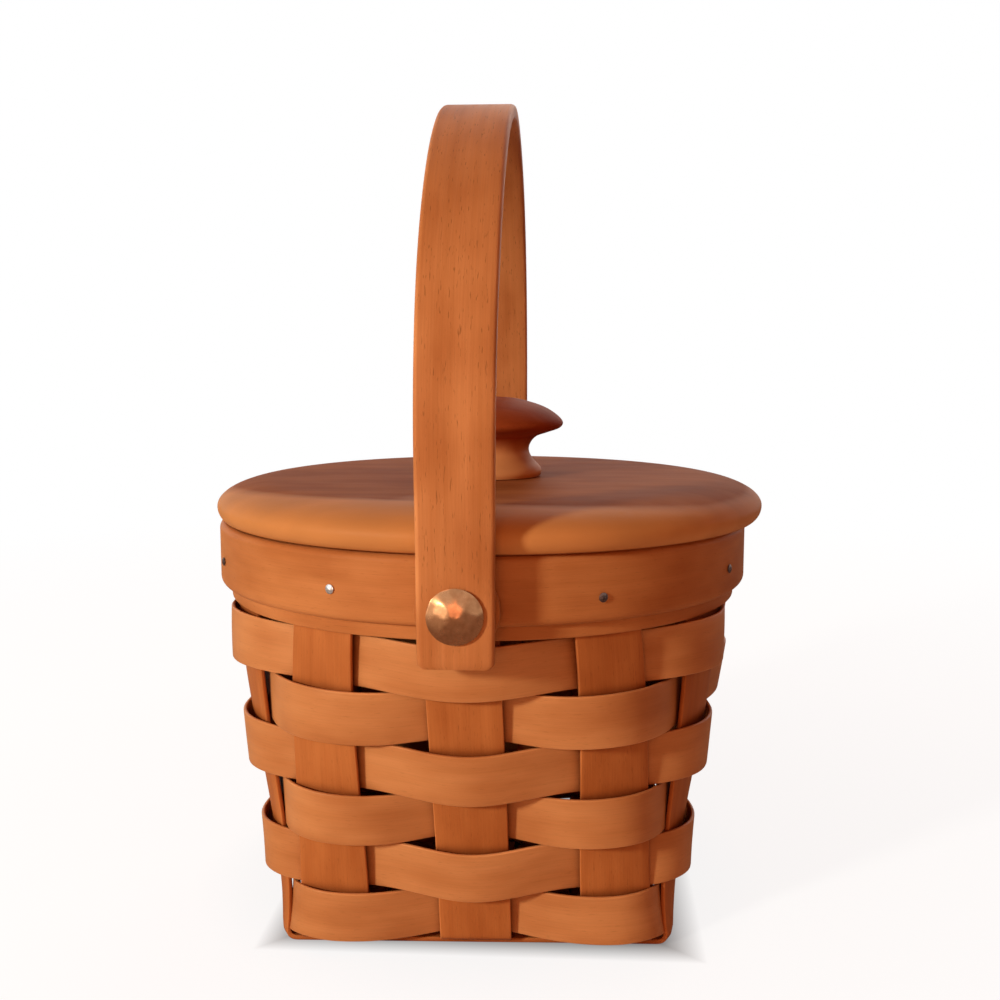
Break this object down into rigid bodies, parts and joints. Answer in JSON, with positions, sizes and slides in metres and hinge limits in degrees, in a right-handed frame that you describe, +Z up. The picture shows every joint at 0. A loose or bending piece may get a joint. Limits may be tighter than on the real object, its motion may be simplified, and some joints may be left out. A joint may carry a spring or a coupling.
{
  "type": "lidded woven basket",
  "caption": "Woven wood splint basket, square at the base and round at the rim, with banded rim, round wooden lid with turned knob and a swinging strap handle.",
  "frame": {"origin": "middle of the woven base, on the plane that the basket stands on", "axes": "+Z up; -Y is the side with the near handle leg; the handle swings about Y"},
  "size_m": [0.1838, 0.2032, 0.2632],
  "materials": {
    "splint": "honey stained splint, satin",
    "band": "honey stained, satin",
    "handle": "honey stained bentwood, satin",
    "lid": "stained board, satin",
    "knob": "darker stained turned wood, satin",
    "copper": "hammered and aged copper",
    "steel": "plain bright steel"
  },
  "bodies": {
    "basket": {"stake_lengthways_left": "splint", "stake_lengthways_middle": "splint", "stake_lengthways_right": "splint", "stake_crossways_front": "splint", "stake_crossways_middle": "splint", "stake_crossways_back": "splint", "floor_filler_lengthways_left": "splint", "floor_filler_lengthways_right": "splint", "floor_filler_crossways_front": "splint", "floor_filler_crossways_back": "splint", "weaver_row_1": "splint", "weaver_row_2": "splint", "weaver_row_3": "splint", "weaver_row_4": "splint", "weaver_row_5": "splint", "weaver_row_6": "splint", "rim_band_outer": "band", "rim_band_inner": "band", "rim_trim_strip": "band", "rim_nail_1": "steel", "rim_nail_2": "steel", "rim_nail_3": "steel", "rim_nail_4": "steel", "rim_nail_5": "steel", "rim_nail_6": "steel", "rim_nail_7": "steel", "rim_nail_8": "steel", "handle_rivet_front": "copper", "handle_rivet_back": "copper", "rivet_burr_front": "copper", "rivet_burr_back": "copper", "handle_spacer_front": "band", "handle_spacer_back": "band"},
    "handle": {"handle_strap": "handle"},
    "lid": {"lid_board": "lid", "lid_plug": "lid", "lid_knob": "knob", "lid_screw": "steel"}
  },
  "joints": [
    {"name": "handle_swing", "type": "hinge", "parent": "basket", "child": "handle", "pos_m": [0, 0, 0.1125], "axis": [0, 1, 0], "range_deg": [-130, 130]},
    {"name": "lid_lift", "type": "slide", "parent": "basket", "child": "lid", "axis": [0, 0, 1], "range_m": [0, 0.025]}
  ]
}
